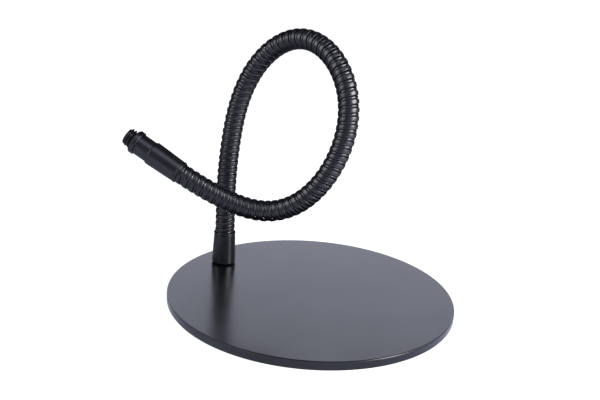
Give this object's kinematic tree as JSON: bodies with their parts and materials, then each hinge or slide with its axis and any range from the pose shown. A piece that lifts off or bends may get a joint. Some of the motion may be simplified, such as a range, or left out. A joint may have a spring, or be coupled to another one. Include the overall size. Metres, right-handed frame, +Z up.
{
  "type": "desktop microphone stand",
  "caption": "Round weighted base with a self-holding gooseneck arm bent into a loop; a threaded stud at its free end takes a microphone clip.",
  "frame": {"origin": "centre of the rubber pad's underside, on the table the stand rests on", "axes": "+Z up; +X to the right and +Y to the back when the arm's loop faces the viewer and its tip points left"},
  "size_m": [0.176, 0.15, 0.1381],
  "materials": {
    "base": "satin slate powder coat",
    "pad": "thin black rubber sheet",
    "ferrule": "satin black",
    "outer_wire": "blackened drawn steel, satin",
    "inner_wire": "oiled spring steel",
    "zinc": "zinc plated",
    "black_oxide": "black oxide"
  },
  "bodies": {
    "base": {"base_plate": "base", "base_pad": "pad", "base_screw": "zinc", "lock_washer": "zinc", "lower_plug": "zinc", "lower_ferrule": "ferrule", "lower_trim_ring": "ferrule", "lower_set_screw": "black_oxide", "outer_wire_00": "outer_wire", "inner_wire_00": "inner_wire"},
    "arm_01": {"outer_wire_01": "outer_wire", "inner_wire_01": "inner_wire"},
    "arm_02": {"outer_wire_02": "outer_wire", "inner_wire_02": "inner_wire"},
    "arm_03": {"outer_wire_03": "outer_wire", "inner_wire_03": "inner_wire"},
    "arm_04": {"outer_wire_04": "outer_wire", "inner_wire_04": "inner_wire"},
    "arm_05": {"outer_wire_05": "outer_wire", "inner_wire_05": "inner_wire"},
    "arm_06": {"outer_wire_06": "outer_wire", "inner_wire_06": "inner_wire"},
    "arm_07": {"outer_wire_07": "outer_wire", "inner_wire_07": "inner_wire"},
    "arm_08": {"outer_wire_08": "outer_wire", "inner_wire_08": "inner_wire"},
    "arm_09": {"outer_wire_09": "outer_wire", "inner_wire_09": "inner_wire"},
    "arm_10": {"outer_wire_10": "outer_wire", "inner_wire_10": "inner_wire"},
    "arm_11": {"outer_wire_11": "outer_wire", "inner_wire_11": "inner_wire"},
    "arm_12": {"outer_wire_12": "outer_wire", "inner_wire_12": "inner_wire"},
    "arm_13": {"outer_wire_13": "outer_wire", "inner_wire_13": "inner_wire"},
    "arm_14": {"outer_wire_14": "outer_wire", "inner_wire_14": "inner_wire"},
    "arm_15": {"outer_wire_15": "outer_wire", "inner_wire_15": "inner_wire"},
    "arm_16": {"outer_wire_16": "outer_wire", "inner_wire_16": "inner_wire"},
    "arm_17": {"outer_wire_17": "outer_wire", "inner_wire_17": "inner_wire"},
    "arm_18": {"outer_wire_18": "outer_wire", "inner_wire_18": "inner_wire"},
    "arm_19": {"outer_wire_19": "outer_wire", "inner_wire_19": "inner_wire"},
    "arm_20": {"outer_wire_20": "outer_wire", "inner_wire_20": "inner_wire", "upper_trim_ring": "ferrule", "upper_sleeve": "ferrule", "upper_plug": "ferrule", "upper_set_screw": "black_oxide", "threaded_stud": "ferrule"}
  },
  "joints": [
    {"name": "bend_01", "type": "hinge", "parent": "base", "child": "arm_01", "pos_m": [-0.04956, 0.03298, 0.03051], "axis": [-0.0003, -0.9996, 0.0286], "range_deg": [-15, 15]},
    {"name": "bend_02", "type": "hinge", "parent": "arm_01", "child": "arm_02", "pos_m": [-0.04982, 0.03389, 0.04541], "axis": [-1, 0.0008, -0.0071], "range_deg": [-15, 15]},
    {"name": "bend_03", "type": "hinge", "parent": "arm_02", "child": "arm_03", "pos_m": [-0.04955, 0.03582, 0.06023], "axis": [-0.0007, -0.9884, 0.1519], "range_deg": [-15, 15]},
    {"name": "bend_04", "type": "hinge", "parent": "arm_03", "child": "arm_04", "pos_m": [-0.04847, 0.03815, 0.0752], "axis": [-0.9951, 0.0158, 0.0974], "range_deg": [-15, 15]},
    {"name": "bend_05", "type": "hinge", "parent": "arm_04", "child": "arm_05", "pos_m": [-0.04634, 0.03986, 0.08973], "axis": [0.5666, 0.8044, -0.1788], "range_deg": [-10, 7]},
    {"name": "bend_06", "type": "hinge", "parent": "arm_05", "child": "arm_06", "pos_m": [-0.04208, 0.04006, 0.10418], "axis": [0.5759, 0.7974, -0.1803], "range_deg": [-15, 7]},
    {"name": "bend_07", "type": "hinge", "parent": "arm_06", "child": "arm_07", "pos_m": [-0.03512, 0.03798, 0.11722], "axis": [0.5724, 0.8004, -0.178], "range_deg": [-18, 7]},
    {"name": "bend_08", "type": "hinge", "parent": "arm_07", "child": "arm_08", "pos_m": [-0.02547, 0.03328, 0.12745], "axis": [0.6127, 0.7532, -0.2393], "range_deg": [-25, 7]},
    {"name": "bend_09", "type": "hinge", "parent": "arm_08", "child": "arm_09", "pos_m": [-0.01398, 0.02545, 0.13257], "axis": [0.6222, 0.736, -0.267], "range_deg": [-30, 4]},
    {"name": "bend_10", "type": "hinge", "parent": "arm_09", "child": "arm_10", "pos_m": [-0.00281, 0.01546, 0.13047], "axis": [0.6549, 0.743, -0.1381], "range_deg": [-26, 7]},
    {"name": "bend_11", "type": "hinge", "parent": "arm_10", "child": "arm_11", "pos_m": [0.00563, 0.00666, 0.12234], "axis": [0.6422, 0.7548, -0.1336], "range_deg": [-23, 7]},
    {"name": "bend_12", "type": "hinge", "parent": "arm_11", "child": "arm_12", "pos_m": [0.01067, -0.00002, 0.11006], "axis": [0.4957, 0.8358, -0.2362], "range_deg": [-20, 7]},
    {"name": "bend_13", "type": "hinge", "parent": "arm_12", "child": "arm_13", "pos_m": [0.01132, -0.00462, 0.09574], "axis": [0.3655, 0.8932, -0.2618], "range_deg": [-17, 7]},
    {"name": "bend_14", "type": "hinge", "parent": "arm_13", "child": "arm_14", "pos_m": [0.00798, -0.00753, 0.08155], "axis": [0.2571, 0.9331, -0.2515], "range_deg": [-14, 7]},
    {"name": "bend_15", "type": "hinge", "parent": "arm_14", "child": "arm_15", "pos_m": [0.0011, -0.0091, 0.06807], "axis": [0.4271, 0.8436, -0.3255], "range_deg": [-17, 7]},
    {"name": "bend_16", "type": "hinge", "parent": "arm_15", "child": "arm_16", "pos_m": [-0.00873, -0.00831, 0.0571], "axis": [0.3223, 0.9272, -0.1908], "range_deg": [-21, 7]},
    {"name": "bend_17", "type": "hinge", "parent": "arm_16", "child": "arm_17", "pos_m": [-0.0218, -0.00564, 0.05023], "axis": [0.169, 0.98, 0.105], "range_deg": [-29, 5]},
    {"name": "bend_18", "type": "hinge", "parent": "arm_17", "child": "arm_18", "pos_m": [-0.03632, -0.00327, 0.05008], "axis": [0.1628, 0.964, 0.2104], "range_deg": [-19, 7]},
    {"name": "bend_19", "type": "hinge", "parent": "arm_18", "child": "arm_19", "pos_m": [-0.0506, -0.00201, 0.05483], "axis": [-0.3635, 0.3289, -0.8716], "range_deg": [-15, 15]},
    {"name": "bend_20", "type": "hinge", "parent": "arm_19", "child": "arm_20", "pos_m": [-0.06383, -0.00107, 0.06134], "axis": [0.2518, 0.9366, 0.2437], "range_deg": [-15, 15]}
  ]
}
